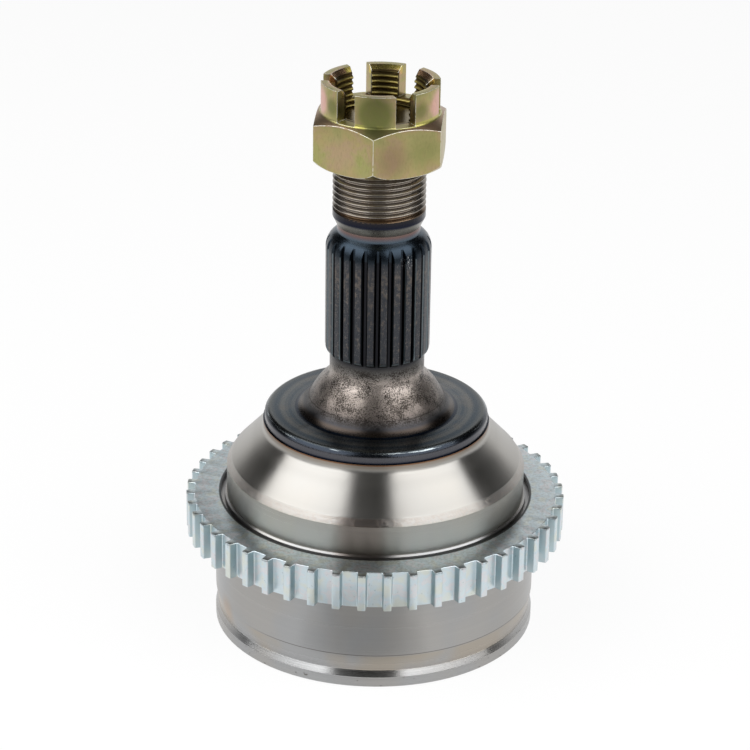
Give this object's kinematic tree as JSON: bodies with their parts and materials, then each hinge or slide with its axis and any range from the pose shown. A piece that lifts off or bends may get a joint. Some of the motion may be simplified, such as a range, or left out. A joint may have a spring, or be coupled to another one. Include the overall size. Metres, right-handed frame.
{
  "type": "fixed constant-velocity joint",
  "caption": "Outer drive-shaft joint with a splined, threaded stub axle, tone ring, castle nut, and a tilting splined inner race on caged balls.",
  "frame": {"origin": "on the joint's axis, in the plane of the bell's open mouth, which it stands on", "axes": "+Z along the axis towards the end of the stub axle; +X along one pair of the nut's slots and the split-pin hole, and the axis that the joint articulates about"},
  "size_m": [0.1006, 0.1006, 0.15],
  "materials": {
    "bell_steel": "turned and ground, satin",
    "ring_zinc": "clear zinc plated",
    "nut_zinc": "yellow zinc plated",
    "cage_steel": "hardened, dark, ground faces",
    "race_steel": "hardened, ground tracks",
    "spring_steel": "black oxide spring steel",
    "ball_steel": "polished"
  },
  "bodies": {
    "root": {"outer_race": "bell_steel", "abs_ring": "ring_zinc"},
    "hub_nut": {"castle_nut": "nut_zinc"},
    "star": {"inner_race": "race_steel", "retaining_ring": "spring_steel"},
    "ball_cage": {"cage": "cage_steel"},
    "ball_1_body": {"ball_1": "ball_steel"},
    "ball_2_body": {"ball_2": "ball_steel"},
    "ball_3_body": {"ball_3": "ball_steel"},
    "ball_4_body": {"ball_4": "ball_steel"},
    "ball_5_body": {"ball_5": "ball_steel"},
    "ball_6_body": {"ball_6": "ball_steel"}
  },
  "joints": [
    {"name": "articulation", "type": "hinge", "parent": "root", "child": "star", "pos_m": [0, 0, 0.02], "axis": [1, 0, 0], "range_deg": [-42, 42]},
    {"name": "cage_tilt", "type": "hinge", "parent": "root", "child": "ball_cage", "pos_m": [0, 0, 0.02], "axis": [1, 0, 0], "range_deg": [-21.5, 21.5]},
    {"name": "nut_travel", "type": "slide", "parent": "root", "child": "hub_nut", "axis": [0, 0, 1], "range_m": [-0.0135, 0.021]},
    {"name": "ball_1_roll", "type": "hinge", "parent": "root", "child": "ball_1_body", "pos_m": [0, 0, 0.017], "axis": [0.5, -0.866, 0], "range_deg": [-11.42, 11.42]},
    {"name": "ball_2_roll", "type": "hinge", "parent": "root", "child": "ball_2_body", "pos_m": [0, 0, 0.017], "axis": [1, 0, 0], "range_deg": [-21.5, 21.5]},
    {"name": "ball_3_roll", "type": "hinge", "parent": "root", "child": "ball_3_body", "pos_m": [0, 0, 0.017], "axis": [0.5, 0.866, 0], "range_deg": [-11.42, 11.42]},
    {"name": "ball_4_roll", "type": "hinge", "parent": "root", "child": "ball_4_body", "pos_m": [0, 0, 0.017], "axis": [-0.5, 0.866, 0], "range_deg": [-11.42, 11.42]},
    {"name": "ball_5_roll", "type": "hinge", "parent": "root", "child": "ball_5_body", "pos_m": [0, 0, 0.017], "axis": [-1, 0, 0], "range_deg": [-21.5, 21.5]},
    {"name": "ball_6_roll", "type": "hinge", "parent": "root", "child": "ball_6_body", "pos_m": [0, 0, 0.017], "axis": [-0.5, -0.866, 0], "range_deg": [-11.42, 11.42]}
  ],
  "couplings": [
    {"joint": "cage_tilt", "follows": "articulation", "ratio": 0.5},
    {"joint": "ball_1_roll", "follows": "articulation", "ratio": 0.26},
    {"joint": "ball_2_roll", "follows": "articulation", "ratio": 0.5},
    {"joint": "ball_3_roll", "follows": "articulation", "ratio": 0.26},
    {"joint": "ball_4_roll", "follows": "articulation", "ratio": -0.26},
    {"joint": "ball_5_roll", "follows": "articulation", "ratio": -0.5},
    {"joint": "ball_6_roll", "follows": "articulation", "ratio": -0.26}
  ]
}
